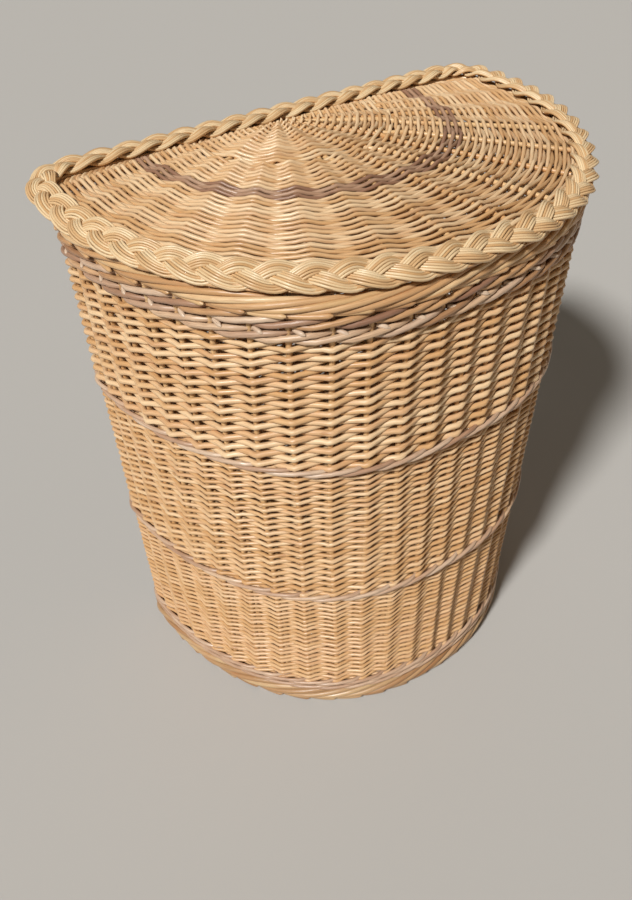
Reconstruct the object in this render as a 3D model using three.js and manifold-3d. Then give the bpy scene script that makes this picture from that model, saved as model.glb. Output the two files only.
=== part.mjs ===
// A half-round willow laundry hamper with a hinged woven lid.
//
// Millimetres, +Z up. The front bows out towards -Y, the flat back faces +Y and the hamper
// stands on z = 0. The origin is under the middle of the whole hamper.
//
// The wall is described by three numbers: u, the fraction of the way round the plan, starting
// at the middle of the back and going by the right side, the front and the left side; inset,
// how far a point lies inside the outer face; and z, its height.

import * as THREE from "three";
import { mergeVertices } from "three/addons/utils/BufferGeometryUtils.js";
import Module from "manifold-3d";

const wasm = await Module();
wasm.setup();

// Plan of the lid and of the body at its rim and at its foot
const LID_HALF_WIDTH = 264;
const LID_DEPTH = 336;
const LID_CORNER = 57;
const LID_BOW = 2.18;
const BACK_OVERHANG = 14;
const RIM_HALF_WIDTH = 250;
const RIM_DEPTH = 316;
const FOOT_HALF_WIDTH = 230;
const FOOT_DEPTH = 298;
const FOOT_BACK_INSET = 5;
const BODY_CORNER = 47;
const BODY_BOW = 2.35;
const LID_BACK_Y = LID_DEPTH / 2;
const BODY_BACK_Y = LID_BACK_Y - BACK_OVERHANG;

// Heights of the parts of the wall
const BODY_HEIGHT = 546;
const FOOT_TOP = 27;
const FOOT_WALE_TOP = 43;
const LOWER_WALE_BOTTOM = 189;
const LOWER_WALE_TOP = 199;
const UPPER_WALE_BOTTOM = 365;
const UPPER_WALE_TOP = 375;
const TOP_WALE_BOTTOM = 505;
const TOP_WALE_TOP = 529;

// Wall, stakes and wales
const WALL = 12;
const GAP = 0.3;
const STAKE_COUNT = 44;
const STAKE = 5;
const STAKE_CENTRE_INSET = 6;
const CHANNEL_CLEARANCE = 0.4;
const CHANNEL = STAKE + 2 * CHANNEL_CLEARANCE;
const PAIR_BAR_HEIGHT = 5;
const WALE_PROUD = 1.5;
const WALE_DEPTH = STAKE_CENTRE_INSET - CHANNEL / 2;

// Rolled borders: how far each stands proud, and where its section turns
const BORDER_PROUD = 2;
const BORDER_DEPTH = 14;
const BORDER_TUCK = 2;
const BORDER_BELLY = 5;
const BORDER_SHOULDER = 3;
const BORDER_CHAMFER = 4;
const FOOT_PROUD = 5;
const FOOT_BELLY_LOW = 5;
const FOOT_BELLY_HIGH = 15;

// Woven base and the sticks across it
const BASE_BOTTOM = 10;
const BASE_TOP = 22;
const BASE_INSET = BORDER_DEPTH + 1;
const STICK_COUNT = 6;
const STICK_SPACING = 66;
const STICK = 6;
const STICK_SIDES = 6;
const STICK_END_GAP = 2;

// Lid: the round rim rod lies on the hinge axis along the back
const RIM_ROD_RADIUS = 3;
const RIM_ROD_SIDES = 8;
const RIM_ROD_INSET = 7;
const RIM_ROD_GAP = 0.7;
const RIM_ROD_Z = BODY_HEIGHT + RIM_ROD_GAP + RIM_ROD_RADIUS;
const BRAID_WIDTH = 33;
const BRAID_THICKNESS = 9;
const BRAID_FRONT_LOW = 548.5;
const BRAID_BACK_LOW = 557.3;
const BRAID_INNER_HIGH = 571;
const PANEL_BOTTOM = 549;
const PANEL_TOP = 555;
const PANEL_EDGE_INSET = 16;
const BRAID_LIP = 4;
const BRAID_EDGE_STEP = 0.5;
const BRAID_STAKE_INSET = PANEL_EDGE_INSET - 1;
const BRAID_SHELF_INSET = PANEL_EDGE_INSET - 4;
const BRAID_LIFT_STARTS = 0.24;
const BRAID_LIFT_FULL = 0.17;

// The lid's panel. Shares run from 0 at the hub to 1 at the panel's edge.
const HUB_INSET = 18;
const HUB_SHARE = 0.03;
const DARK_BAND_START = 0.52;
const DARK_BAND_END = 0.62;
const BAND_GAP_SHARE = 0.002;
const PANEL_STEPS = 20;
const LID_PAIR_COUNT = 8;
const LID_STAKE = 5;
const LID_STAKE_START = 20;
const LID_STAKE_START_HALF = 0.45;
const LID_STAKE_END_SHARE = 0.96;
const PAIR_OPENS_AT = 0.36;
const FORK_LENGTH = 12;

// Willow loops that tie the lid's rim rod to the top border
const LOOP_X = 150;
const LOOP_WIDTH = 9;
const LOOP_THICKNESS = 2.2;
const LOOP_CLEARANCE = 0.5;
const LOOP_DROP = 18;

// Facets: a straight back needs no inner points, a corner and the front need several
const BACK_STEPS = 1;
const CORNER_STEPS = 5;
const FRONT_STEPS = 26;

const BUFF = { color: 0xd9ae78, roughness: 0.6 };
const MAUVE = { color: 0x94705c, roughness: 0.62 };
const CREAM = { color: 0xe3c493, roughness: 0.55 };
const FOOT_BROWN = { color: 0xb98450, roughness: 0.65 };
const STAKE_TAN = { color: 0xcda069, roughness: 0.6 };

const hamper = new THREE.Group();
const lid = new THREE.Group();
hamper.add(lid);

function addPart(group, name, geometry, finish) {
  const material = new THREE.MeshStandardMaterial({ metalness: 0, ...finish });
  const mesh = new THREE.Mesh(geometry, material);
  mesh.name = name;
  group.add(mesh);
}

// A geometry from points and triangles, turned so that its faces point out
function solid(points, triangles) {
  let volume = 0;
  for (const [a, b, c] of triangles) {
    volume += points[a].dot(points[b].clone().cross(points[c])) / 6;
  }
  const facing = volume < 0 ? triangles.map(([a, b, c]) => [a, c, b]) : triangles;
  const geometry = new THREE.BufferGeometry();
  geometry.setAttribute("position", new THREE.Float32BufferAttribute(points.flatMap((p) => p.toArray()), 3));
  geometry.setIndex(facing.flat());
  geometry.computeVertexNormals();
  return geometry;
}

// The D-shaped plan, as a list of stations. The outline is a core shape grown by the corner
// radius, so an inset outline is the same core grown by less.
function planStations(halfWidth, depth, corner, bow, backY) {
  const a = halfWidth - corner;
  const b = depth - 2 * corner;
  const coreY = backY - corner;
  const stations = [];
  const put = (x, y, nx, ny) => {
    const length = Math.hypot(nx, ny);
    stations.push({ core: new THREE.Vector2(x, y), out: new THREE.Vector2(nx / length, ny / length) });
  };
  for (let i = 0; i < BACK_STEPS; i++) {
    put((a * i) / BACK_STEPS, coreY, 0, 1);
  }
  for (let i = 0; i < CORNER_STEPS; i++) {
    const angle = (Math.PI / 2) * (1 - i / CORNER_STEPS);
    put(a, coreY, Math.cos(angle), Math.sin(angle));
  }
  for (let i = 0; i <= FRONT_STEPS; i++) {
    const angle = (Math.PI * i) / FRONT_STEPS;
    const c = Math.cos(angle);
    const s = Math.max(Math.sin(angle), 1e-9);
    const side = Math.sign(c);
    const x = side * a * Math.abs(c) ** (2 / bow);
    const y = coreY - b * s ** (2 / bow);
    put(x, y, (side * Math.abs(c) ** (2 - 2 / bow)) / a, -(s ** (2 - 2 / bow)) / b);
  }
  for (let i = 1; i <= CORNER_STEPS; i++) {
    const angle = Math.PI - (Math.PI / 2) * (i / CORNER_STEPS);
    put(-a, coreY, Math.cos(angle), Math.sin(angle));
  }
  for (let i = 1; i < BACK_STEPS; i++) {
    put(-a * (1 - i / BACK_STEPS), coreY, 0, 1);
  }
  return stations;
}

// A plan curve. spot(u) finds the facet at a fraction u of its length, and how far along the
// facet; at(spot, inset) is the point there, so two plans can share one spot.
function planCurve(halfWidth, depth, corner, bow, backY) {
  const stations = planStations(halfWidth, depth, corner, bow, backY);
  const count = stations.length;
  const outer = stations.map((s) => s.core.clone().addScaledVector(s.out, corner));
  const along = [0];
  for (let i = 0; i < count; i++) {
    along.push(along[i] + outer[i].distanceTo(outer[(i + 1) % count]));
  }
  const length = along[count];
  const spot = (u) => {
    const target = (((u % 1) + 1) % 1) * length;
    let facet = 0;
    while (facet < count - 1 && along[facet + 1] <= target) {
      facet += 1;
    }
    return { facet, t: (target - along[facet]) / (along[facet + 1] - along[facet]) };
  };
  const at = ({ facet, t }, inset) => {
    const from = stations[facet];
    const to = stations[(facet + 1) % count];
    const p = from.core.clone().addScaledVector(from.out, corner - inset);
    const q = to.core.clone().addScaledVector(to.out, corner - inset);
    return p.lerp(q, t);
  };
  const us = along.slice(0, -1).map((distance) => distance / length);
  return { spot, at, us, length };
}

const lidPlan = planCurve(LID_HALF_WIDTH, LID_DEPTH, LID_CORNER, LID_BOW, LID_BACK_Y);
const rimPlan = planCurve(RIM_HALF_WIDTH, RIM_DEPTH, BODY_CORNER, BODY_BOW, BODY_BACK_Y);
const footBackY = BODY_BACK_Y - FOOT_BACK_INSET;
const footPlan = planCurve(FOOT_HALF_WIDTH, FOOT_DEPTH, BODY_CORNER, BODY_BOW, footBackY);

function wallPoint(u, inset, z) {
  const spot = rimPlan.spot(u);
  const low = footPlan.at(spot, inset);
  const high = rimPlan.at(spot, inset);
  const p = low.lerp(high, z / BODY_HEIGHT);
  return new THREE.Vector3(p.x, p.y, z);
}

function lidPoint(u, inset, z) {
  const p = lidPlan.at(lidPlan.spot(u), inset);
  return new THREE.Vector3(p.x, p.y, z);
}

// A closed ring: a section given by profile(u), a list of [inset, z], carried round the plan
function ring(place, us, profile) {
  const points = [];
  const triangles = [];
  const sides = profile(0).length;
  for (const u of us) {
    for (const [inset, z] of profile(u)) {
      points.push(place(u, inset, z));
    }
  }
  for (let i = 0; i < us.length; i++) {
    const next = (i + 1) % us.length;
    for (let j = 0; j < sides; j++) {
      const k = (j + 1) % sides;
      const quad = [i * sides + j, next * sides + j, next * sides + k, i * sides + k];
      triangles.push([quad[0], quad[1], quad[2]], [quad[0], quad[2], quad[3]]);
    }
  }
  return solid(points, triangles);
}

// A plate between two faces with the same outline and the same holes. flat holds the outline
// and holes as 2-D loops for cutting into triangles; low and high place each loop's points.
function plate(given, low, high) {
  const loops = given.map((loop, index) => {
    const clockwise = THREE.ShapeUtils.isClockWise(loop.map((p) => p.flat));
    return clockwise === index > 0 ? loop : [...loop].reverse();
  });
  const flat = loops.map((loop) => loop.map((p) => p.flat));
  const faces = THREE.ShapeUtils.triangulateShape(flat[0], flat.slice(1));
  const all = loops.flat();
  const count = all.length;
  const points = [...all.map(low), ...all.map(high)];
  const triangles = [];
  for (const [a, b, c] of faces) {
    triangles.push([a, b, c], [a + count, c + count, b + count]);
  }
  let first = 0;
  for (const loop of loops) {
    const size = loop.length;
    for (let i = 0; i < size; i++) {
      const a = first + i;
      const b = first + ((i + 1) % size);
      triangles.push([a, a + count, b], [b, a + count, b + count]);
    }
    first += size;
  }
  return solid(points, triangles);
}

function toManifold(geometry) {
  const bare = geometry.clone();
  bare.deleteAttribute("normal");
  bare.deleteAttribute("uv");
  const merged = mergeVertices(bare);
  const vertProperties = Float32Array.from(merged.attributes.position.array);
  const triVerts = Uint32Array.from(merged.index.array);
  return new wasm.Manifold(new wasm.Mesh({ numProp: 3, vertProperties, triVerts }));
}

function fromManifold(body) {
  const mesh = body.getMesh();
  const geometry = new THREE.BufferGeometry();
  geometry.setAttribute("position", new THREE.BufferAttribute(mesh.vertProperties, mesh.numProp));
  geometry.setIndex(new THREE.BufferAttribute(mesh.triVerts, 1));
  geometry.computeVertexNormals();
  return geometry;
}

function stakeU(index) {
  return (index + 0.5) / STAKE_COUNT;
}

// The way through the weave that a stake runs in
function channel(index, bottom, top) {
  const u = stakeU(index);
  const half = CHANNEL / 2;
  const du = half / rimPlan.length;
  const corners = [
    [u - du, STAKE_CENTRE_INSET - half],
    [u + du, STAKE_CENTRE_INSET - half],
    [u + du, STAKE_CENTRE_INSET + half],
    [u - du, STAKE_CENTRE_INSET + half],
  ];
  const loop = corners.map(([along, inset]) => {
    return { along, inset, flat: rimPlan.at(rimPlan.spot(along), inset) };
  });
  const low = (mark) => wallPoint(mark.along, mark.inset, bottom - 1);
  const high = (mark) => wallPoint(mark.along, mark.inset, top + 1);
  return plate([loop], low, high);
}

// One zone of weave: the whole thickness of the wall, with a channel for every stake
function weaveZone(bottom, top) {
  const low = bottom + GAP / 2;
  const high = top - GAP / 2;
  const section = [
    [0, low],
    [0, high],
    [WALL, high],
    [WALL, low],
  ];
  let zone = toManifold(ring(wallPoint, rimPlan.us, () => section));
  for (let i = 0; i < STAKE_COUNT; i++) {
    zone = zone.subtract(toManifold(channel(i, low, high)));
  }
  return fromManifold(zone);
}

// A wale lies round the outside of the stakes
function wale(bottom, top) {
  const low = bottom + GAP / 2;
  const high = top - GAP / 2;
  const middle = (low + high) / 2;
  const section = [
    [0, low],
    [-WALE_PROUD, middle],
    [0, high],
    [WALE_DEPTH, high],
    [WALE_DEPTH, low],
  ];
  return ring(wallPoint, rimPlan.us, () => section);
}

function topBorder() {
  const low = TOP_WALE_TOP + GAP / 2;
  const section = [
    [0, low],
    [-BORDER_PROUD, low + BORDER_BELLY],
    [0, BODY_HEIGHT - BORDER_SHOULDER],
    [BORDER_CHAMFER, BODY_HEIGHT],
    [BORDER_DEPTH - BORDER_CHAMFER, BODY_HEIGHT],
    [BORDER_DEPTH, BODY_HEIGHT - BORDER_BELLY],
    [BORDER_DEPTH - BORDER_TUCK, low],
  ];
  return ring(wallPoint, rimPlan.us, () => section);
}

function footBorder() {
  const high = FOOT_TOP - GAP / 2;
  const section = [
    [BORDER_TUCK, 0],
    [-FOOT_PROUD, FOOT_BELLY_LOW],
    [-FOOT_PROUD, FOOT_BELLY_HIGH],
    [0, high],
    [BORDER_DEPTH - BORDER_TUCK, high],
    [BORDER_DEPTH, FOOT_BELLY_HIGH],
    [BORDER_DEPTH - BORDER_TUCK, 0],
  ];
  return ring(wallPoint, rimPlan.us, () => section);
}

// Two neighbouring stakes and the bend that joins them at the foot
function stakePair(pair) {
  const first = stakeU(2 * pair);
  const second = stakeU(2 * pair + 1);
  const du = STAKE / 2 / rimPlan.length;
  const low = FOOT_TOP + GAP;
  const bar = low + PAIR_BAR_HEIGHT;
  const high = TOP_WALE_TOP - GAP;
  const outline = [
    [first - du, low],
    [second + du, low],
    [second + du, high],
    [second - du, high],
    [second - du, bar],
    [first + du, bar],
    [first + du, high],
    [first - du, high],
  ];
  const loop = outline.map(([u, z]) => ({ u, z, flat: new THREE.Vector2(u * rimPlan.length, z) }));
  const near = (mark) => wallPoint(mark.u, STAKE_CENTRE_INSET - STAKE / 2, mark.z);
  const far = (mark) => wallPoint(mark.u, STAKE_CENTRE_INSET + STAKE / 2, mark.z);
  return plate([loop], near, far);
}

function basePanel() {
  const loop = rimPlan.us.map((u) => ({ u, flat: footPlan.at(rimPlan.spot(u), BASE_INSET) }));
  const low = (mark) => wallPoint(mark.u, BASE_INSET, BASE_BOTTOM);
  const high = (mark) => wallPoint(mark.u, BASE_INSET, BASE_TOP);
  return plate([loop], low, high);
}

// Base sticks lie under the woven base, from front to back
function baseStick(index) {
  const x = (index - (STICK_COUNT - 1) / 2) * STICK_SPACING;
  const back = footBackY - BASE_INSET - STICK_END_GAP;
  const reach = FOOT_DEPTH - 2 * (BASE_INSET + STICK_END_GAP);
  const bow = Math.abs(x) / (FOOT_HALF_WIDTH - BASE_INSET);
  const length = reach * (1 - bow ** BODY_BOW) ** (1 / BODY_BOW);
  const geometry = new THREE.CylinderGeometry(STICK / 2, STICK / 2, length, STICK_SIDES);
  geometry.translate(x, back - length / 2, BASE_BOTTOM - GAP - STICK / 2);
  return geometry;
}

// The braid slopes down and out; along the back its outer edge is lifted off the rim rod
function braidLow(u) {
  const fromBack = Math.min(u, 1 - u);
  const back = 1 - THREE.MathUtils.smoothstep(fromBack, BRAID_LIFT_FULL, BRAID_LIFT_STARTS);
  return THREE.MathUtils.lerp(BRAID_FRONT_LOW, BRAID_BACK_LOW, back);
}

function lidBraid() {
  const rodTop = RIM_ROD_Z + RIM_ROD_RADIUS;
  const stakeTop = PANEL_TOP + GAP + LID_STAKE;
  const high = BRAID_INNER_HIGH;
  const profile = (u) => {
    const low = braidLow(u);
    const shelf = Math.max(low + BRAID_EDGE_STEP, rodTop + 2 * GAP);
    return [
      [BRAID_EDGE_STEP, low],
      [0, low + BRAID_THICKNESS / 2],
      [BRAID_LIP, low + BRAID_THICKNESS],
      [BRAID_WIDTH - BRAID_LIP, high],
      [BRAID_WIDTH, high - BRAID_THICKNESS / 2],
      [BRAID_WIDTH - BRAID_LIP, high - BRAID_THICKNESS],
      [BRAID_STAKE_INSET, stakeTop + 2 * GAP],
      [BRAID_SHELF_INSET, shelf],
      [RIM_ROD_INSET - RIM_ROD_RADIUS - 4 * GAP, shelf],
    ];
  };
  return ring(lidPoint, lidPlan.us, profile);
}

function lidRim() {
  const section = [];
  for (let i = 0; i < RIM_ROD_SIDES; i++) {
    const angle = (Math.PI * 2 * (i + 0.5)) / RIM_ROD_SIDES;
    const inset = RIM_ROD_INSET + RIM_ROD_RADIUS * Math.cos(angle);
    section.push([inset, RIM_ROD_Z + RIM_ROD_RADIUS * Math.sin(angle)]);
  }
  return ring(lidPoint, lidPlan.us, () => section);
}

// The lid's weave runs in rows round a hub at the middle of the back. A place on the panel is
// given by its angle from straight ahead and its share of the way from the hub to the edge.
const hub = new THREE.Vector2(0, LID_BACK_Y - HUB_INSET);

function panelReach(angle) {
  const edge = lidPlan.us.map((u) => lidPlan.at(lidPlan.spot(u), PANEL_EDGE_INSET).sub(hub));
  const ray = new THREE.Vector2(Math.sin(angle), -Math.cos(angle));
  for (let i = 0; i < edge.length; i++) {
    const a = edge[i];
    const step = edge[(i + 1) % edge.length].clone().sub(a);
    const across = ray.cross(step);
    const t = a.cross(step) / across;
    const s = a.cross(ray) / across;
    if (t > 0 && s >= 0 && s <= 1) {
      return t;
    }
  }
  throw new Error("the panel has no edge in that direction");
}

function panelPlace(angle, share) {
  const ray = new THREE.Vector2(Math.sin(angle), -Math.cos(angle));
  return hub.clone().addScaledVector(ray, share * panelReach(angle));
}

// A half ring of weave between two shares of the way out
function panelZone(inner, outer) {
  const loop = [];
  for (let i = 0; i <= PANEL_STEPS; i++) {
    loop.push({ flat: panelPlace(Math.PI * (i / PANEL_STEPS - 0.5), outer) });
  }
  for (let i = PANEL_STEPS; i >= 0; i--) {
    loop.push({ flat: panelPlace(Math.PI * (i / PANEL_STEPS - 0.5), inner) });
  }
  const low = (mark) => new THREE.Vector3(mark.flat.x, mark.flat.y, PANEL_BOTTOM);
  const high = (mark) => new THREE.Vector3(mark.flat.x, mark.flat.y, PANEL_TOP);
  return plate([loop], low, high);
}

// Two lid stakes side by side from the hub, opening into a fork on the way out. Distances
// across the pair are counted in stake thicknesses.
function lidStakePair(index) {
  const step = Math.PI / LID_PAIR_COUNT;
  const middle = -Math.PI / 2 + step * (index + 0.5);
  const ray = new THREE.Vector2(Math.sin(middle), -Math.cos(middle));
  const side = new THREE.Vector2(-ray.y, ray.x);
  const spread = step / 4;
  const left = panelPlace(middle - spread, LID_STAKE_END_SHARE);
  const right = panelPlace(middle + spread, LID_STAKE_END_SHARE);
  const fork = hub.clone().addScaledVector(ray, panelReach(middle) * PAIR_OPENS_AT);
  const start = hub.clone().addScaledVector(ray, LID_STAKE_START);
  const at = (from, across) => from.clone().addScaledVector(side, across * LID_STAKE);
  const outline = [
    at(start, -LID_STAKE_START_HALF),
    at(fork, -1),
    at(left, -0.5),
    at(left, 0.5),
    at(fork.clone().addScaledVector(ray, FORK_LENGTH), 0),
    at(right, -0.5),
    at(right, 0.5),
    at(fork, 1),
    at(start, LID_STAKE_START_HALF),
  ];
  const loop = outline.map((flat) => ({ flat }));
  const low = (mark) => new THREE.Vector3(mark.flat.x, mark.flat.y, PANEL_TOP + GAP);
  const high = (mark) => new THREE.Vector3(mark.flat.x, mark.flat.y, PANEL_TOP + GAP + LID_STAKE);
  return plate([loop], low, high);
}

// A willow loop round the lid's rim rod that sits like a saddle over the top border
function hingeLoop(side) {
  const inner = RIM_ROD_RADIUS + LOOP_CLEARANCE;
  const outer = inner + LOOP_THICKNESS;
  const shape = new THREE.Shape();
  shape.absarc(0, 0, outer, 0, Math.PI * 2);
  const hole = new THREE.Path();
  hole.absarc(0, 0, inner, 0, Math.PI * 2, true);
  shape.holes.push(hole);
  const eye = new THREE.ExtrudeGeometry(shape, { depth: LOOP_WIDTH, bevelEnabled: false, curveSegments: 8 });
  eye.translate(0, 0, -LOOP_WIDTH / 2);
  eye.rotateY(Math.PI / 2);

  const rodToBack = BACK_OVERHANG - RIM_ROD_INSET;
  const saddleTop = BODY_HEIGHT + GAP - RIM_ROD_Z + LOOP_THICKNESS;
  const outside = BORDER_PROUD + GAP - rodToBack;
  const inside = -rodToBack - BORDER_DEPTH - GAP;
  const strap = (fromY, toY, fromZ, toZ) => {
    const box = new THREE.BoxGeometry(LOOP_WIDTH, toY - fromY, toZ - fromZ);
    box.translate(0, (fromY + toY) / 2, (fromZ + toZ) / 2);
    return toManifold(box);
  };
  const behind = strap(outside, outside + LOOP_THICKNESS, -LOOP_DROP, -inner + GAP);
  const over = strap(inside - LOOP_THICKNESS, -inner - GAP, saddleTop - LOOP_THICKNESS, saddleTop);
  const within = strap(inside - LOOP_THICKNESS, inside, -LOOP_DROP, saddleTop);
  const geometry = fromManifold(toManifold(eye).add(behind).add(over).add(within));
  geometry.translate(side * LOOP_X, LID_BACK_Y - RIM_ROD_INSET, RIM_ROD_Z);
  return geometry;
}

addPart(hamper, "base_panel", basePanel(), BUFF);
for (let i = 0; i < STICK_COUNT; i++) {
  addPart(hamper, `base_stick_${i + 1}`, baseStick(i), STAKE_TAN);
}
addPart(hamper, "foot_border", footBorder(), FOOT_BROWN);
addPart(hamper, "foot_wale", wale(FOOT_TOP, FOOT_WALE_TOP), MAUVE);
addPart(hamper, "lower_weave", weaveZone(FOOT_WALE_TOP, LOWER_WALE_BOTTOM), BUFF);
addPart(hamper, "lower_dividing_wale", wale(LOWER_WALE_BOTTOM, LOWER_WALE_TOP), MAUVE);
addPart(hamper, "middle_weave", weaveZone(LOWER_WALE_TOP, UPPER_WALE_BOTTOM), BUFF);
addPart(hamper, "upper_dividing_wale", wale(UPPER_WALE_BOTTOM, UPPER_WALE_TOP), MAUVE);
addPart(hamper, "upper_weave", weaveZone(UPPER_WALE_TOP, TOP_WALE_BOTTOM), BUFF);
addPart(hamper, "top_wale", wale(TOP_WALE_BOTTOM, TOP_WALE_TOP), MAUVE);
addPart(hamper, "top_border", topBorder(), BUFF);
for (let i = 0; i < STAKE_COUNT / 2; i++) {
  addPart(hamper, `stake_pair_${String(i + 1).padStart(2, "0")}`, stakePair(i), STAKE_TAN);
}
addPart(hamper, "hinge_loop_left", hingeLoop(-1), CREAM);
addPart(hamper, "hinge_loop_right", hingeLoop(1), CREAM);
addPart(lid, "lid_rim", lidRim(), STAKE_TAN);
addPart(lid, "lid_braid", lidBraid(), CREAM);
addPart(lid, "lid_inner_weave", panelZone(HUB_SHARE, DARK_BAND_START), BUFF);
addPart(lid, "lid_dark_band", panelZone(DARK_BAND_START + BAND_GAP_SHARE, DARK_BAND_END), MAUVE);
addPart(lid, "lid_outer_weave", panelZone(DARK_BAND_END + BAND_GAP_SHARE, 1), BUFF);
for (let i = 0; i < LID_PAIR_COUNT; i++) {
  addPart(lid, `lid_stake_pair_${i + 1}`, lidStakePair(i), STAKE_TAN);
}

export default hamper;
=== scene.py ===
"""A half-round willow laundry hamper with a hinged, plaited-edge lid, dressed on its CAD frame."""
import math

import bpy
import numpy as np
from mathutils import Matrix, Vector


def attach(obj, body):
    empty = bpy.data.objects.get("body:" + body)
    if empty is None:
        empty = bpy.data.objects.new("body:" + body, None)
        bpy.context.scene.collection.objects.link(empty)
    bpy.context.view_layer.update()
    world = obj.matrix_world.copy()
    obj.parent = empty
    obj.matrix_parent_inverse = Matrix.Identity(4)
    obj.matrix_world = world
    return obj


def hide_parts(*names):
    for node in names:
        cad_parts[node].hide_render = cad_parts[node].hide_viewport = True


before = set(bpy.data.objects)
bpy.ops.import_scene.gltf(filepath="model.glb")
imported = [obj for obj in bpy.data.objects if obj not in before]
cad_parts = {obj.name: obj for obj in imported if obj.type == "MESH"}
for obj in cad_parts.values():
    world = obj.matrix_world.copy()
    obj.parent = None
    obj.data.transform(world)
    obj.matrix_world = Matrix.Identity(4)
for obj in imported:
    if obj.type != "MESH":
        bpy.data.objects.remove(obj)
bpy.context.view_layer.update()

# ---------------------------------------------------------------- driving sizes, in millimetres
MM = 0.001
SEED = 763

# outlines seen from above; bow is how square the front is, 2 for an ellipse and more for a box
LID_PLAN = dict(half_width=264, depth=336, corner=43, bow=2.2, back_y=168)
RIM_PLAN = dict(half_width=250, depth=316, corner=47, bow=2.35, back_y=154)
FOOT_PLAN = dict(half_width=227, depth=305, corner=47, bow=2.2, back_y=149)
BACK_STATIONS = 24
CORNER_STATIONS = 24
FRONT_STATIONS = 240
BODY_HEIGHT = 546

# handwork: the front stands out further to the left, and the lid sits a little to the right
BODY_SWELL = dict(start=0.51, run=0.19)
FRONT_SKEW_RIM = 9.0
FRONT_SKEW_FOOT = 0.5
LID_SWELL = dict(start=0.5, run=0.27)
LID_SKEW = 4.5
LID_SHIFT = 3.5

STAKE_COUNT = 44
STAKE_RADIUS = 2.7
STAKE_INSET = 6
STAKE_FOOT = 18
STAKE_TOP = 534
STAKE_SAMPLES = 44
STAKE_WANDER = 1.3
WANDER_WAVE_LEAST = 260
WANDER_WAVE_SPREAD = 240

# zone: lowest and highest height, stakes that each rod passes, rod diameter, range of tones;
# a tone is a place in the material's row of colours, and past 1 it starts again from 0
# the lower and middle zones keep to the darker part of the row of colours: painted shade, so that
# the wall darkens towards its foot
LOWER_ZONE = dict(low=33, high=196, stakes=44, rod=3.5, tones=(0.74, 1.3))
MIDDLE_ZONE = dict(low=190.5, high=372, stakes=44, rod=3.9, tones=(0.7, 1.5))
UPPER_ZONE = dict(low=366.5, high=511, stakes=29, rod=5.05, tones=(0.0, 1.0))

# a woven rod between two stakes: places along the way, and its depth there from 1 out to -1 in
WEAVE_SPOTS = (0.0, 0.08, 0.22, 0.5, 0.78, 0.92)
WEAVE_DEPTHS = (1.0, 0.86, 0.46, 0.0, -0.46, -0.86)

# how many flat sides stand for a round rod
FINE_ROD_SIDES = 6
ROD_SIDES = 8
THICK_ROD_SIDES = 10
HOOP_SIDES = 12

# uneven handwork: each rod's own size and reach, and how much its height strays
ROD_SIZES = (0.94, 1.06)
ROD_REACHES = (0.93, 1.01)
ROW_SCATTER = 0.35
ROD_WAVER = 0.22

# a rod is thicker at its butt and thinner at its tip by this share, and both ends tuck in
BUTT_SWELL = 0.12
ROD_END_TUCK = 2.2
END_TUCK_RATE = 3

# the flat back's rods are fuller, so that no floor shows through two walls at once
BACK_FULLNESS = 0.34
BACK_STARTS_AT = 0.29
BACK_BLEND = 0.05

# wale: height of each round, rod diameter, climb of a stroke, range of tones, how far it stands out
FOOT_WALE = dict(lows=(25.5, 33.5), rod=4.1, pitch=4.1, tones=(0.3, 0.6), proud=1.3)
LOWER_WALE = dict(lows=(189.5,), rod=4.3, pitch=4.3, tones=(0.22, 0.75), proud=1.8)
UPPER_WALE = dict(lows=(365.5,), rod=4.3, pitch=4.3, tones=(0.22, 0.75), proud=2.2)
TOP_WALE = dict(lows=(505.5, 518.6), rod=5.2, pitch=6.1, tones=(0.0, 1.0), proud=0.0)
TOP_WALE_BUTTS = dict(z=516.4, radius=2.1, out=5.6)

# a wale stroke passes three stakes: phase in stakes against swing from 1 out to -1 in, and rise
WALE_STROKE = 3
WALE_SWING = (
    (0, 0.35, 0.6, 1.0, 1.4, 1.65, 2.0, 2.3, 2.5, 2.7, 3.0),
    (0, 0.82, 1.0, 1.06, 1.0, 0.82, 0, -0.8, -1.0, -0.8, 0),
)
WALE_RISE = ((0, 0.5, 1.5, 2.0, 2.5, 3.0), (-0.05, 0.0, 1.0, 1.05, 0.5, -0.05))
WALE_RUNS = (
    (-0.5, STAKE_COUNT + 0.5),
    (0.5, STAKE_COUNT + 1.5),
    (1.5, STAKE_COUNT - 0.5),
)
WALE_SAMPLE = 0.125
WALE_WAVER = 0.12
WALE_END_TUCK = 2.0
WALE_TONES = 8

# cut butts in the top wale: each one's steps along its length, then its lie beside its stake
STUB_STEPS = (0, 0.2, 0.4, 0.6, 0.75, 0.86, 0.94, 1.0)
STUB_START = 0.14
STUB_RUN = 0.26
STUB_DEPTH = 1.5
STUB_DROP = 1.6
STUB_SCATTER = 0.8
STUB_OUT_SCATTER = 0.5
STUB_CUT = 3.5
STUB_TONE = 0.6

# rolled border: middle height, half width and half height of the roll, rod diameter,
# stakes passed, inset of the roll's middle, how far the cut ends stand out
TOP_BORDER = dict(middle=536.9, wide=5.6, tall=6.6, rod=5.1, run=8.0, inset=5.2, poke=2.2)
FOOT_BORDER = dict(middle=13.0, wide=5.4, tall=9.8, rod=6.2, run=8.0, inset=5.0, poke=0.6)
BORDER_STEPS = np.append(np.linspace(0, 0.986, 64), (0.993, 0.997, 1.0))
BORDER_START = math.radians(-50)
BORDER_TURN = math.radians(372)
BORDER_TURN_SCATTER = 0.14
BORDER_SCATTER = 0.35
BORDER_TUCK = 3.0
BORDER_TUCK_RATE = 14
BORDER_POKE_RATE = 16
BORDER_POKE_DROP = 0.3
BORDER_BUTT = 1.08
BORDER_TAPER = 0.2
BORDER_CUT = 90
LEAST_CUT = 0.12

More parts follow.
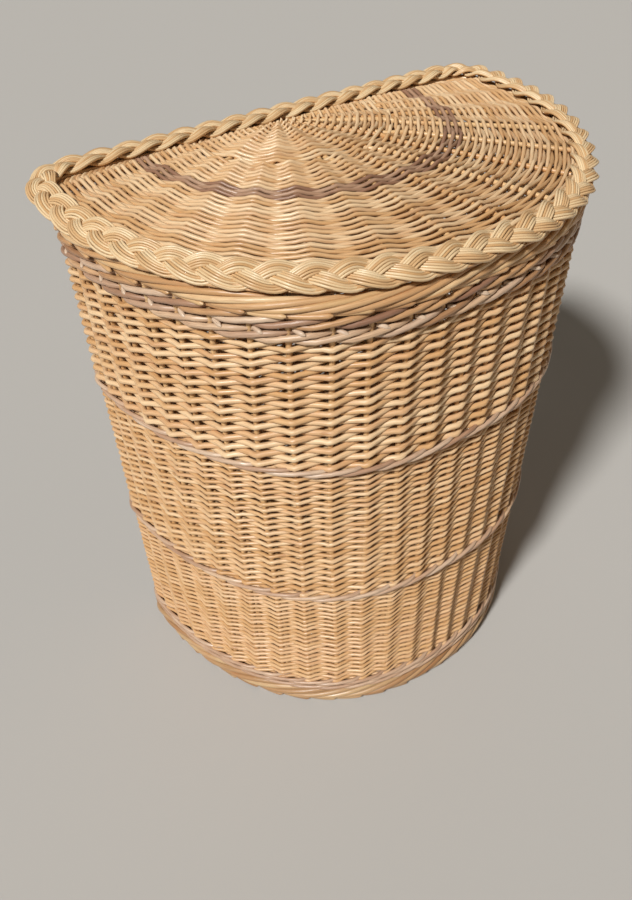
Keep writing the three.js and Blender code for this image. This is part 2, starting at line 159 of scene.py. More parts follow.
# base: rods from side to side over sticks from back to front, samples between two sticks
BASE_Z = 16
BASE_STICKS = 6
BASE_STICK_SPACING = 66
BASE_STICK_RADIUS = 3
BASE_STICK_INSET = 16
BASE_ROWS = 66
BASE_ROD = 4.2
BASE_ROD_INSET = 18
BASE_SAMPLES = 8
BASE_PRESS = 0.92
BASE_SCATTER = 0.3

# lid stakes: pairs fanned from a hub at the back, thinner there, opening into forks further out
LID_PAIRS = 8
LID_STAKE_RADIUS = 2.4
LID_STAKE_SPAN = (0.02, 0.985)
LID_STAKE_REACH = 270
PAIR_GAP = 0.1
PAIR_OPENS_AT = 0.36
PAIR_OPENS_BEFORE = 0.02
PAIR_OPENING = 0.09
HUB_Y = 150
HUB_SHARE = 0.25
HUB_LEAST_REACH = 12
HUB_STAKE_SIZE = 0.4
HUB_ROD_SIZE = 0.6

# the lid's panel: rows are scaled copies of its edge, closer together towards the sides
PANEL_INSET = 16
PANEL_ROWS = 74
PANEL_ROD = 3.6
PANEL_ROD_SIZES = (0.93, 1.07)
PANEL_PRESS = 0.3
PANEL_MIDDLE = 559.0
PANEL_DOME = 4.0
PANEL_LIFT_SCATTER = 0.2
PANEL_ROW_WAVER = 0.0006
FIRST_ROW = 2
ROWS_TO_EDGE = PANEL_ROWS + 1.2
SIDE_CROWDING = 0.14
SIDE_FULLNESS = 0.07
ROW_END_REACH = 250
ROW_END_RUN = 9
ROW_END_DROP = 1.5
DARK_BAND = (0.55, 0.612)
BUFF_TONE_TOP = 0.9
DARK_TONE_TOP = 0.35

# the plait: each strand swings across the band and heaves over and under the other two;
# it lies flat along the back and slants outwards at the front, with a turn between them
# that starts and runs for the given arc shares, counted from the middle of the back
BRAID_INSET = 10.0
BRAID_SWING = 7.6
BRAID_HEAVE = 2.8
BRAID_PERIODS = 17
BRAID_SAMPLES = 22
BRAID_RODS = 6
BRAID_ROD_RADIUS = 1.1
BRAID_ROD_SIZES = (0.96, 1.08)
BRAID_CROWN = 1.2
BRAID_CROWN_FALL = 0.03
BRAID_WAVER = 0.16
BRAID_LOOSER = (0.05, 0.04)
BRAID_SLANT_FRONT = math.radians(28)
BRAID_SLANT_BACK = math.radians(1)
BRAID_HEIGHT_FRONT = 557.0
BRAID_HEIGHT_BACK = 567.5
BRAID_LEFT_TURN = (0.14, 0.11)
BRAID_RIGHT_TURN = (0.24, 0.17)

# hinge loops: a few turns of rod round the lid's hoop above and the top border below
HINGE_Y = 161
HINGE_Z = 549.7
LOOP_X = 150
LOOP_ROD = 2.2
LOOP_TURNS = 4
LOOP_SAMPLES = 16
LOOP_LEAN = 0.3
LOOP_SLACK = 0.5
LOOP_LOW_RADIUS = 8.6
BORDER_MIDDLE = (148.5, 538.5)

# the lid's hoop, and two bars across the panel's back edge
RIM_ROD_INSET = 7
RIM_ROD_RADIUS = 3
BACK_BAR_YS = (143.5, 148.5)
BACK_BAR_HALF = 236
BACK_BAR_RADIUS = 2.6
BACK_BAR_Z = 554.5

# rods that the plait lies on: each one's shift across it, and its extra drop along the back
BED_RODS = ((1.0, 0), (7.5, 0), (1.5, 4.5), (5.0, 8.0))
BED_ROD_RADIUS = 2.0
BED_GAP = 1.6

# pale rod ends laid along the lid's hoop, which rise and tuck in under the plait
RIM_TAILS = 44
TAIL_START = 0.3
TAIL_RUN = 1.65
TAIL_SPAN = (0.19, 0.81)
TAIL_Z = 549.3
TAIL_RISE = 5.0
TAIL_INSET = 2.6
TAIL_TUCK = 6.0
TAIL_SCATTER = 0.3
TAIL_POINT = 0.6
TAIL_SWELL = 1.6

# edges sharper than this stay sharp; each rod's grain starts somewhere in this length
SHARP_ANGLE = math.radians(62)
GRAIN_SPREAD = 5000

# camera: the point it looks at in metres, its distance from there, and its angles
TARGET = Vector((-0.0405, 0.0283, 0.2375))
CAMERA_DISTANCE = 0.962
CAMERA_AZIMUTH = math.radians(-34.68)
CAMERA_ELEVATION = math.radians(40.54)
CAMERA_ROLL = -0.0133
CAMERA_LENS = 34.0
SENSOR_LONG_SIDE = 36.0


# ---------------------------------------------------------------- camera
def make_camera():
    """The camera looks down at the hamper from its front left."""
    flat = math.cos(CAMERA_ELEVATION)
    back = Vector((
        math.sin(CAMERA_AZIMUTH) * flat,
        -math.cos(CAMERA_AZIMUTH) * flat,
        math.sin(CAMERA_ELEVATION),
    ))
    level_right = Vector((math.cos(CAMERA_AZIMUTH), math.sin(CAMERA_AZIMUTH), 0))
    level_up = back.cross(level_right)
    right = math.cos(CAMERA_ROLL) * level_right + math.sin(CAMERA_ROLL) * level_up
    up = back.cross(right)
    camera = bpy.data.objects.new("camera", bpy.data.cameras.new("camera"))
    camera.data.sensor_width = SENSOR_LONG_SIDE
    camera.data.lens = CAMERA_LENS
    turn = Matrix((right, up, back)).transposed()
    camera.matrix_world = Matrix.Translation(TARGET + CAMERA_DISTANCE * back) @ turn.to_4x4()
    bpy.context.scene.collection.objects.link(camera)
    bpy.context.scene.camera = camera


# ---------------------------------------------------------------- outlines seen from above
class Plan:
    """A half-round outline: a straight back, round corners and a bowed front, station by station."""

    def __init__(self, half_width, depth, corner, bow, back_y):
        wide = half_width - corner
        deep = depth - 2 * corner
        core_y = back_y - corner
        cores, normals = [], []
        for x in np.linspace(0, wide, BACK_STATIONS, endpoint=False):
            cores.append((x, core_y))
            normals.append((0, 1))
        for turn in np.linspace(math.pi / 2, 0, CORNER_STATIONS, endpoint=False):
            cores.append((wide, core_y))
            normals.append((math.cos(turn), math.sin(turn)))
        for turn in np.linspace(0, math.pi, FRONT_STATIONS):
            c, s = math.cos(turn), math.sin(turn)
            across, down = abs(c) ** (2 / bow), max(s, 0.0) ** (2 / bow)
            cores.append((math.copysign(wide * across, c), core_y - deep * down))
            slope_x = abs(c) ** (2 - 2 / bow) / wide
            slope_y = max(s, 0.0) ** (2 - 2 / bow) / deep
            size = math.hypot(slope_x, slope_y)
            normals.append((math.copysign(slope_x / size, c), -slope_y / size))
        for turn in np.linspace(math.pi, math.pi / 2, CORNER_STATIONS + 1)[1:]:
            cores.append((-wide, core_y))
            normals.append((math.cos(turn), math.sin(turn)))
        for x in np.linspace(-wide, 0, BACK_STATIONS + 1)[1:]:
            cores.append((x, core_y))
            normals.append((0, 1))
        self.cores = np.array(cores)
        self.normals = np.array(normals)
        self.corner = corner
        outline = self.cores + corner * self.normals
        steps = np.linalg.norm(np.diff(outline, axis=0), axis=1)
        self.length = steps.sum()
        self.spots = np.concatenate(([0], np.cumsum(steps))) / self.length

    def at(self, u, inset, spots=None):
        """The point at arc share u, inset from the outline; spots are another outline's shares."""
        spots = self.spots if spots is None else spots
        u = np.mod(u, 1.0)
        core = [np.interp(u, spots, self.cores[:, i]) for i in (0, 1)]
        out = [np.interp(u, spots, self.normals[:, i]) for i in (0, 1)]
        return [core[i] + (self.corner - inset) * out[i] for i in (0, 1)]

    def outward(self, u):
        """The flat outward direction at arc share u."""
        u = np.mod(u, 1.0)
        out = np.stack([np.interp(u, self.spots, self.normals[:, i]) for i in (0, 1)], axis=-1)
        out = out / np.linalg.norm(out, axis=-1, keepdims=True)
        return np.concatenate([out, np.zeros(out.shape[:-1] + (1,))], axis=-1)


lid_plan = Plan(**LID_PLAN)
rim_plan = Plan(**RIM_PLAN)
foot_plan = Plan(**FOOT_PLAN)


def smooth(value):
    """Eases from 0 to 1 as the value goes from 0 to 1."""
    value = np.clip(value, 0, 1)
    return value * value * (3 - 2 * value)


def swell(u, start, run):
    """Handwork: a smooth outward swelling over one run of an outline, 0 to 1."""
    return np.sin(math.pi * np.clip((np.mod(u, 1.0) - start) / run, 0, 1)) ** 1.5


def wall(u, inset, z):
    """A point of the tapered body wall."""
    u, inset, z = np.broadcast_arrays(u, inset, z)
    share = z / BODY_HEIGHT
    skew = FRONT_SKEW_FOOT + (FRONT_SKEW_RIM - FRONT_SKEW_FOOT) * share
    inset = inset - skew * swell(u, **BODY_SWELL)
    foot = foot_plan.at(u, inset, rim_plan.spots)
    rim = rim_plan.at(u, inset)
    return np.stack([(1 - share) * foot[i] + share * rim[i] for i in (0, 1)] + [z], axis=-1)


def lid(u, inset, z):
    """A point along the lid's edge."""
    u, inset, z = np.broadcast_arrays(u, inset, z)
    x, y = lid_plan.at(u, inset - LID_SKEW * swell(u, **LID_SWELL))
    return np.stack([x, y, z], axis=-1)


# ---------------------------------------------------------------- rods swept along paths
class Bundle:
    """Many rods gathered into one piece, each with its own tone and its own run of grain."""

    def __init__(self, seed):
        self.chance = np.random.default_rng(SEED + seed)
        self.points, self.quads, self.tris, self.grain, self.tone = [], [], [], [], []
        self.count = 0

    def add(self, paths, radius, sides=ROD_SIDES, up=(0, 0, 1), tone=None):
        """Sweeps one rod along each path. paths is rods x samples x 3, in millimetres."""
        paths = np.asarray(paths, dtype=float)
        rods, samples = paths.shape[:2]
        radius = np.broadcast_to(np.asarray(radius, dtype=float), (rods, samples))
        along = np.gradient(paths, axis=1)
        along /= np.linalg.norm(along, axis=2, keepdims=True)
        up = np.broadcast_to(np.asarray(up, dtype=float), paths.shape)
        top = up - along * np.sum(up * along, axis=2, keepdims=True)
        top /= np.linalg.norm(top, axis=2, keepdims=True)
        side = np.cross(along, top)
        turn = 2 * math.pi * np.arange(sides) / sides
        reach = radius[:, :, None, None]
        ring = paths[:, :, None] + reach * (
            np.cos(turn)[None, None, :, None] * side[:, :, None]
            + np.sin(turn)[None, None, :, None] * top[:, :, None]
        )
        ends = paths[:, (0, -1)]
        self.points += [ring.reshape(-1, 3), ends.reshape(-1, 3)]
        self._faces(rods, samples, sides)
        self._colour(paths, radius, turn, rods, samples, sides, tone)

    def _faces(self, rods, samples, sides):
        """Joins the rings of each rod and closes both of its ends."""
        ring = np.arange(rods * samples * sides).reshape(rods, samples, sides) + self.count
        after = np.roll(ring, -1, axis=2)
        self.quads.append(np.stack(
            [ring[:, :-1], ring[:, 1:], after[:, 1:], after[:, :-1]], axis=-1
        ).reshape(-1, 4))
        self.count += rods * samples * sides
        ends = np.arange(rods * 2).reshape(rods, 2) + self.count
        self.count += rods * 2
        first = np.broadcast_to(ends[:, :1], (rods, sides))
        last = np.broadcast_to(ends[:, 1:], (rods, sides))
        self.tris.append(np.stack([first, ring[:, 0], after[:, 0]], axis=-1).reshape(-1, 3))
        self.tris.append(np.stack([last, after[:, -1], ring[:, -1]], axis=-1).reshape(-1, 3))

    def _colour(self, paths, radius, turn, rods, samples, sides, tone):
        """Gives each point its rod's tone, and its place along and across the rod's grain."""
        tone = self.chance.random((rods, 1)) if tone is None else np.asarray(tone)
        tone = np.broadcast_to(tone, (rods, samples))
        steps = np.linalg.norm(np.diff(paths, axis=1), axis=2)
        run = np.concatenate([np.zeros((rods, 1)), np.cumsum(steps, axis=1)], axis=1)
        run = run + self.chance.random((rods, 1)) * GRAIN_SPREAD
        grain = np.empty((rods, samples, sides, 3))
        grain[..., 0] = run[:, :, None]
        grain[..., 1] = radius[:, :, None] * np.cos(turn)
        grain[..., 2] = radius[:, :, None] * np.sin(turn)
        ends = np.zeros((rods, 2, 3))
        ends[:, :, 0] = run[:, (0, -1)]
        self.grain += [grain.reshape(-1, 3), ends.reshape(-1, 3)]
        self.tone += [np.repeat(tone.ravel(), sides), tone[:, (0, -1)].ravel()]

    def piece(self, name, material, slot, body, *nodes):
        """Makes the gathered rods one object that rides on a body and stands for CAD nodes."""
        points = np.concatenate(self.points) * MM
        if body == "lid":
            points[:, 0] += LID_SHIFT * MM
        quads, tris = np.concatenate(self.quads), np.concatenate(self.tris)
        mesh = bpy.data.meshes.new(name)
        mesh.vertices.add(len(points))
        mesh.vertices.foreach_set("co", points.ravel())
        mesh.loops.add(quads.size + tris.size)
        mesh.loops.foreach_set("vertex_index", np.concatenate([quads.ravel(), tris.ravel()]))
        starts = np.concatenate([
            np.arange(len(quads)) * 4, quads.size + np.arange(len(tris)) * 3
        ])
        mesh.polygons.add(len(starts))
        mesh.polygons.foreach_set("loop_start", starts)
        mesh.update(calc_edges=True)
        mesh.shade_smooth()
        mesh.set_sharp_from_angle(angle=SHARP_ANGLE)
        grain = mesh.attributes.new("grain", "FLOAT_VECTOR", "POINT")
        grain.data.foreach_set("vector", (np.concatenate(self.grain) * MM).ravel())
        tone = mesh.attributes.new("tone", "FLOAT", "POINT")
        tone.data.foreach_set("value", np.concatenate(self.tone))
        mesh.materials.append(material)
        piece = bpy.data.objects.new(name, mesh)
        bpy.context.scene.collection.objects.link(piece)
        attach(piece, body)
        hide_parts(*nodes)
        return piece


# ---------------------------------------------------------------- willow materials
# how many times a pattern changes in a metre, along and across the grain of a rod
PATCHES = (22, 60)
FIBRES = (70, 1500)
KNOTS = (45, 160)

# from one level of a pattern to another, and what that stretch turns into
STAIN_SPAN = (0.50, 0.74, 0, 0.55)
STREAK_SPAN = (0.48, 0.75, 0, 0.6)
KNOT_SPAN = (0.74, 0.80, 0, 0.65)
ROUGHNESS_SPAN = (0.3, 0.7, 0.27, 0.48)

WILLOW_SHINE = 0.5
RIDGE_STRENGTH = 0.55
RIDGE_DEPTH = 0.00035
FINE_RIDGE_DEPTH = 0.0002
SWELL_STRENGTH = 0.5
SWELL_DEPTH = 0.0012


def link(tree, out, into):
    tree.links.new(out, into)


def noise(tree, vector, detail, roughness=0.55):
    """Soft random patches, 0 to 1."""
    node = tree.nodes.new("ShaderNodeTexNoise")
    node.inputs["Scale"].default_value = 1.0
    node.inputs["Detail"].default_value = detail
    node.inputs["Roughness"].default_value = roughness
    link(tree, vector, node.inputs["Vector"])
    return node.outputs["Fac"]


def ramp(tree, factor, colours):
    """Evenly spaced colours, blended one into the next."""
    node = tree.nodes.new("ShaderNodeValToRGB")
    elements = node.color_ramp.elements
    for index, colour in enumerate(colours):
        place = index / (len(colours) - 1)
        element = elements[index] if index < 2 else elements.new(place)
        element.position = place
        element.color = (*colour, 1)
    link(tree, factor, node.inputs["Fac"])
    return node.outputs["Color"]


def blend(tree, factor, colour, mark):
    """Lays a plain colour over another where the factor is high."""
    node = tree.nodes.new("ShaderNodeMix")
    node.data_type = "RGBA"
    link(tree, factor, node.inputs["Factor"])
    link(tree, colour, node.inputs["A"])
    node.inputs["B"].default_value = (*mark, 1)
    return node.outputs["Result"]


def span(tree, value, low, high, to_low, to_high):
    """Maps low to high onto to_low to to_high, and stays at either end beyond them."""
    node = tree.nodes.new("ShaderNodeMapRange")
    for name, number in (
        ("From Min", low), ("From Max", high), ("To Min", to_low), ("To Max", to_high)
    ):
        node.inputs[name].default_value = number
    link(tree, value, node.inputs["Value"])
    return node.outputs["Result"]


def stretched(tree, vector, along, across):
    """Scales a place on a rod, so that a pattern runs along its grain."""
    node = tree.nodes.new("ShaderNodeMapping")
    node.inputs["Scale"].default_value = (along, across, across)
    link(tree, vector, node.inputs["Vector"])
    return node.outputs["Vector"]


def bump(tree, height, strength, distance):
    """Lets a pattern raise the surface a little."""
    node = tree.nodes.new("ShaderNodeBump")
    node.inputs["Strength"].default_value = strength
    node.inputs["Distance"].default_value = distance
    link(tree, height, node.inputs["Height"])
    return node


def willow(name, tones, streak, stain, ridge=RIDGE_DEPTH):
    """Willow rod: a tone for each rod, streaks and stains along its grain, and fine ridges."""
    material = bpy.data.materials.new(name)
    material.use_nodes = True
    tree = material.node_tree
    shader = tree.nodes["Principled BSDF"]
    grain = tree.nodes.new("ShaderNodeAttribute")
    grain.attribute_name = "grain"
    tone = tree.nodes.new("ShaderNodeAttribute")
    tone.attribute_name = "tone"
    place = grain.outputs["Vector"]

    colour = ramp(tree, tone.outputs["Fac"], tones)
    patches = noise(tree, stretched(tree, place, *PATCHES), detail=3)
    colour = blend(tree, span(tree, patches, *STAIN_SPAN), colour, stain)
    fibres = noise(tree, stretched(tree, place, *FIBRES), detail=4, roughness=0.6)
    colour = blend(tree, span(tree, fibres, *STREAK_SPAN), colour, streak)
    knots = noise(tree, stretched(tree, place, *KNOTS), detail=1)
    colour = blend(tree, span(tree, knots, *KNOT_SPAN), colour, streak)
    link(tree, colour, shader.inputs["Base Color"])

    link(tree, span(tree, patches, *ROUGHNESS_SPAN), shader.inputs["Roughness"])
    shader.inputs["Specular IOR Level"].default_value = WILLOW_SHINE
    ridges = bump(tree, fibres, RIDGE_STRENGTH, ridge)
    swells = bump(tree, patches, SWELL_STRENGTH, SWELL_DEPTH)
    link(tree, ridges.outputs["Normal"], swells.inputs["Normal"])
    link(tree, swells.outputs["Normal"], shader.inputs["Normal"])
    return material


def srgb(red, green, blue):
    """A screen colour, 0 to 255, as the linear colour that shaders take."""
    return tuple((value / 255) ** 2.2 for value in (red, green, blue))


buff_willow = willow(
    "buff_willow",
    (srgb(200, 157, 110), srgb(210, 171, 126), srgb(219, 185, 144), srgb(227, 198, 159),
     srgb(216, 179, 138), srgb(204, 162, 120)),
    streak=srgb(160, 112, 68), stain=srgb(196, 148, 98),
)
mauve_willow = willow(
    "mauve_willow",
    (srgb(138, 103, 83), srgb(166, 131, 106), srgb(189, 157, 131), srgb(208, 184, 160),
     srgb(199, 156, 112), srgb(150, 112, 82)),
    streak=srgb(112, 78, 60), stain=srgb(160, 118, 90),
)
braid_willow = willow(
    "braid_willow",
    (srgb(204, 168, 124), srgb(218, 190, 148), srgb(228, 205, 167), srgb(214, 182, 140),
     srgb(200, 160, 113)),
    streak=srgb(176, 129, 84), stain=srgb(206, 164, 116), ridge=FINE_RIDGE_DEPTH,
)
border_willow = willow(
    "border_willow",
    (srgb(186, 144, 100), srgb(203, 167, 121), srgb(218, 187, 145), srgb(197, 156, 112),
     srgb(180, 138, 97)),
    streak=srgb(160, 110, 72), stain=srgb(194, 148, 103),
)
foot_willow = willow(
    "foot_willow",
    (srgb(152, 112, 76), srgb(170, 134, 96), srgb(186, 154, 116), srgb(162, 124, 88),
     srgb(192, 163, 124)),
    streak=srgb(140, 89, 57), stain=srgb(178, 122, 83),
)
stake_willow = willow(
    "stake_willow",
    (srgb(196, 150, 100), srgb(210, 169, 120), srgb(222, 188, 140), srgb(204, 158, 109),
     srgb(214, 179, 131)),
    streak=srgb(160, 110, 65), stain=srgb(194, 143, 92),
)


# ---------------------------------------------------------------- body: stakes and weave
wander = np.random.default_rng(SEED)
SWAY_PHASE = wander.random(STAKE_COUNT) * 2 * math.pi
SWAY_REACH = STAKE_WANDER * (0.5 + wander.random(STAKE_COUNT)) / rim_plan.length
SWAY_WAVE = WANDER_WAVE_LEAST + WANDER_WAVE_SPREAD * wander.random(STAKE_COUNT)


def stake_sway(index, z):
    """How far a stake leans out of its place along the wall at a height, as an arc share."""
    index = np.mod(index, STAKE_COUNT)
    return SWAY_REACH[index] * np.sin(2 * math.pi * z / SWAY_WAVE[index] + SWAY_PHASE[index])


def stake_share(place, z):
    """The arc share of a place counted in stakes, following the stakes' sway between them."""
    before = np.floor(place).astype(int)
    part = place - before
    sway = (1 - part) * stake_sway(before, z) + part * stake_sway(before + 1, z)
    return (place + 0.5) / STAKE_COUNT + sway


def end_tuck(steps, last, rate):
    """1 at both ends of a rod and close to 0 between them."""
    return np.exp(-steps * rate) + np.exp((steps - last) * rate)


def back_size(share):
    """How much fuller than the front's a rod is: 1 at the front and sides, more at the back."""
    from_front = np.abs(np.mod(share, 1) - 0.5)
    return 1 + BACK_FULLNESS * smooth((from_front - BACK_STARTS_AT) / BACK_BLEND)


def weave_zone(name, seed, node, low, high, stakes, rod, tones):
    """French randing: one rod starts at every stake, and all climb to the right together."""
    bundle = Bundle(seed)
    chance = bundle.chance
    steps = np.concatenate([k + np.array(WEAVE_SPOTS) for k in range(stakes)] + [[stakes]])
    depth = np.concatenate(
        [(-1) ** (k + 1) * np.array(WEAVE_DEPTHS) for k in range(stakes)] + [[-1.0]]
    )
    share = steps / stakes
    climb = (1 + BUTT_SWELL) * share - BUTT_SWELL * share ** 2
    rods = np.arange(STAKE_COUNT)[:, None]
    thickness = rod / 2 * (1 + BUTT_SWELL - 2 * BUTT_SWELL * share)
    radius = thickness * chance.uniform(*ROD_SIZES, (STAKE_COUNT, 1))
    z = low + rod / 2 + (high - low - rod) * climb
    z = z + ROW_SCATTER * chance.normal(size=(STAKE_COUNT, 1))
    z = z + ROD_WAVER * chance.normal(size=(STAKE_COUNT, len(steps)))
    place = stake_share(rods - steps, z)
    reach = (STAKE_RADIUS + thickness) * chance.uniform(*ROD_REACHES, (STAKE_COUNT, 1))
    tuck = ROD_END_TUCK * end_tuck(steps, stakes, END_TUCK_RATE)
    path = wall(place, STAKE_INSET - depth * reach + tuck, z)
    # each rod's tone is random within its zone's range; the darker ranges of the lower zones are
    # painted shade
    tone = np.mod(chance.uniform(*tones, (STAKE_COUNT, 1)), 1)
    bundle.add(path, radius * back_size(place), tone=tone)
    return bundle.piece(name, buff_willow, "buff_willow", "hamper", node)


def body_stakes():
    """The upright stakes that the wall is woven on."""
    bundle = Bundle(11)
    z = np.linspace(STAKE_FOOT, STAKE_TOP, STAKE_SAMPLES)[None, :]
    place = stake_share(np.arange(STAKE_COUNT)[:, None], z)
    bundle.add(wall(place, STAKE_INSET, z), STAKE_RADIUS, up=rim_plan.outward(place))
    nodes = [f"stake_pair_{k:02d}" for k in range(1, STAKE_COUNT // 2 + 1)]
    return bundle.piece("body_stakes", stake_willow, "stake_willow", "hamper", *nodes)


def wale(bundle, low, rod, pitch, tones, proud):
    """One round of three-rod wale: in front of two stakes, behind one, rising on the outside."""
    radius = rod / 2
    reach = STAKE_RADIUS + radius
    for first, last in WALE_RUNS:
        start = first + 0.5
        steps = np.arange(first, last + WALE_SAMPLE / 2, WALE_SAMPLE)
        phase = np.mod(steps - start, WALE_STROKE)
        swing = np.interp(phase, *WALE_SWING)
        rise = np.interp(phase, *WALE_RISE)
        z = low + radius + rise * pitch
        z = z + WALE_WAVER * bundle.chance.normal(size=steps.shape)
        tuck = WALE_END_TUCK * end_tuck(steps - first, last - first, END_TUCK_RATE)
        inset = STAKE_INSET - proud - swing * reach + tuck
        path = wall(stake_share(STAKE_COUNT - steps, z), inset, z)
        stroke = np.floor((steps - start + 0.5) / WALE_STROKE).astype(int)
        lengths = np.repeat(bundle.chance.uniform(*tones, WALE_TONES), 2)
        tone = lengths[np.mod(stroke, len(lengths))]
        bundle.add(path[None], radius, sides=THICK_ROD_SIDES, tone=tone[None])


def wales(name, seed, node, lows, rod, pitch, tones, proud, butts=None):
    """A band of mauve wale, one round for each of its lows, with cut rod ends at the butts."""
    bundle = Bundle(seed)
    for low in lows:
        wale(bundle, low, rod, pitch, tones, proud)
    if butts:
        butt_stubs(bundle, **butts)
    return bundle.piece(name, mauve_willow, "mauve_willow", "hamper", node)


def butt_stubs(bundle, z, radius, out):
    """A short cut end poking out to the right beside each stake."""
    steps = np.array(STUB_STEPS)[None, :]
    place = np.arange(STAKE_COUNT)[:, None] - STUB_START - STUB_RUN * steps
    jitter = bundle.chance.normal(size=(STAKE_COUNT, 1))
    height = z + STUB_SCATTER * jitter - STUB_DROP * steps
    reach = (out + STUB_OUT_SCATTER * jitter) * steps ** 0.8
    path = wall(stake_share(place, height), STAKE_INSET - STUB_DEPTH - reach, height)
    bundle.add(path, radius * cut_end(steps, STUB_CUT), sides=THICK_ROD_SIDES, tone=STUB_TONE)


def cut_end(steps, sharpness):
    """Thins a rod towards its last point, as a slanting cut does."""
    return np.sqrt(np.clip((1 - steps) * sharpness, LEAST_CUT, 1))


def rolled_border(name, seed, node, material, slot, middle, wide, tall, rod, run, inset, poke):
    """A rolled border: each stake laid over to the right, once round the roll, and cut off."""
    bundle = Bundle(seed)
    steps = BORDER_STEPS[None, :]
    finish = BORDER_TURN + BORDER_TURN_SCATTER * bundle.chance.normal(size=(STAKE_COUNT, 1))
    turn = BORDER_START + finish * steps
    place = np.arange(STAKE_COUNT)[:, None] - run * steps
    jitter = BORDER_SCATTER * bundle.chance.normal(size=(STAKE_COUNT, 1))
    tuck = BORDER_TUCK * np.exp(-steps * BORDER_TUCK_RATE)
    out = poke * np.exp((steps - 1) * BORDER_POKE_RATE)
    z = middle + (tall + jitter) * np.sin(turn) - BORDER_POKE_DROP * out
    depth = inset - (wide + jitter) * np.cos(turn) + tuck - out
    radius = rod / 2 * (BORDER_BUTT - BORDER_TAPER * steps) * cut_end(steps, BORDER_CUT)
    bundle.add(wall(stake_share(place, z), depth, z), radius, sides=THICK_ROD_SIDES)
    return bundle.piece(name, material, slot, "hamper", node)


# ---------------------------------------------------------------- body: base
def base_edge(y):
    """How far the woven base's rods reach to each side at a depth, inside the foot border."""
    u = np.linspace(0.02, 0.5, 400)
    xs, ys = foot_plan.at(u, BASE_ROD_INSET - 1)
    order = np.argsort(ys)
    return float(np.interp(y, ys[order], xs[order])) - 1


def base_weave():
    """Rods woven from side to side over and under the base sticks."""
    bundle = Bundle(21)
    back, front = (foot_plan.at(u, BASE_ROD_INSET)[1] for u in (0.0, 0.5))
    for row, y in enumerate(np.linspace(back, front, BASE_ROWS)):
        half = base_edge(y)
        xs = np.arange(-half, half, BASE_STICK_SPACING / BASE_SAMPLES)
        swing = np.cos(math.pi * (xs / BASE_STICK_SPACING - 0.5)) * (-1) ** row
        z = BASE_Z + swing * (BASE_STICK_RADIUS + BASE_ROD / 2) * BASE_PRESS
        ys = y + BASE_SCATTER * bundle.chance.normal(size=xs.shape)
        bundle.add(np.stack([xs, ys, z], axis=-1)[None], BASE_ROD / 2, sides=FINE_ROD_SIDES)
    return bundle.piece("base_weave", buff_willow, "buff_willow", "hamper", "base_panel")


def base_sticks():
    """Straight sticks from the back of the foot border to its front."""
    bundle = Bundle(22)
    back = foot_plan.at(0.0, BASE_STICK_INSET)[1]
    xs, ys = foot_plan.at(np.linspace(0.2, 0.8, 600), BASE_STICK_INSET)
    for k in range(BASE_STICKS):
        x = (k - (BASE_STICKS - 1) / 2) * BASE_STICK_SPACING
        front = float(ys[np.argmin(np.abs(xs - x))])
        y = np.linspace(back, front, 24)
        path = np.stack([np.full_like(y, x), y, np.full_like(y, BASE_Z)], axis=-1)
        bundle.add(path[None], BASE_STICK_RADIUS)
    nodes = [f"base_stick_{k}" for k in range(1, BASE_STICKS + 1)]
    return bundle.piece("base_sticks", stake_willow, "stake_willow", "hamper", *nodes)


# ---------------------------------------------------------------- lid
def frontness(u):
    """0 along the lid's back, 1 round its sides and front."""
    u = np.mod(u, 1.0)
    right = (u - BRAID_RIGHT_TURN[0]) / BRAID_RIGHT_TURN[1]
    left = (1 - u - BRAID_LEFT_TURN[0]) / BRAID_LEFT_TURN[1]
    return smooth(np.minimum(left, right))


def braid_frame(u):
    """The plait's middle line with its directions inward along the band and up off its face."""
    front = frontness(u)
    slant = BRAID_SLANT_BACK + (BRAID_SLANT_FRONT - BRAID_SLANT_BACK) * front
    height = BRAID_HEIGHT_BACK + (BRAID_HEIGHT_FRONT - BRAID_HEIGHT_BACK) * front
    level = lid_plan.outward(u[0])[None]
    upright = np.array((0, 0, 1))
    across = -level * np.cos(slant)[..., None] + upright * np.sin(slant)[..., None]
    raised = level * np.sin(slant)[..., None] + upright * np.cos(slant)[..., None]
    return lid(u, BRAID_INSET, height), across, raised


def braid():
    """A three-strand plait over the lid's edge; every strand is two layers of fine rods."""
    bundle = Bundle(31)
    u = np.linspace(0, 1, BRAID_PERIODS * BRAID_SAMPLES + 1)[None, :]
    spine, across, raised = braid_frame(u)
    loose = 1 + BRAID_LOOSER[0] * np.sin(2 * math.pi * (5 * u + 0.3))
    loose = loose + BRAID_LOOSER[1] * np.sin(2 * math.pi * 11 * u)
    for strand in range(3):
        turn = 2 * math.pi * (BRAID_PERIODS * u + strand / 3)
        swing = BRAID_SWING * loose * np.sin(turn)
        heave = -BRAID_HEAVE * np.sin(2 * turn)
        centre = spine + across * swing[..., None] + raised * heave[..., None]
        along = np.gradient(centre, axis=1)
        along /= np.linalg.norm(along, axis=2, keepdims=True)
        flatwise = np.cross(raised, along)
        for layer in (-1, 1):
            for k in range(BRAID_RODS):
                shift = (k - (BRAID_RODS - 1) / 2) * 2 * BRAID_ROD_RADIUS
                crown = BRAID_CROWN - BRAID_CROWN_FALL * shift ** 2
                lift = layer * BRAID_ROD_RADIUS * crown
                waves = u * (17 + 3 * k) + bundle.chance.random()
                wobble = BRAID_WAVER * np.sin(2 * math.pi * waves)
                path = centre + flatwise * (shift + wobble)[..., None] + raised * lift
                size = BRAID_ROD_RADIUS * bundle.chance.uniform(*BRAID_ROD_SIZES)
                bundle.add(path, size, sides=FINE_ROD_SIDES)
    return bundle.piece("lid_braid_plait", braid_willow, "braid_willow", "lid", "lid_braid")


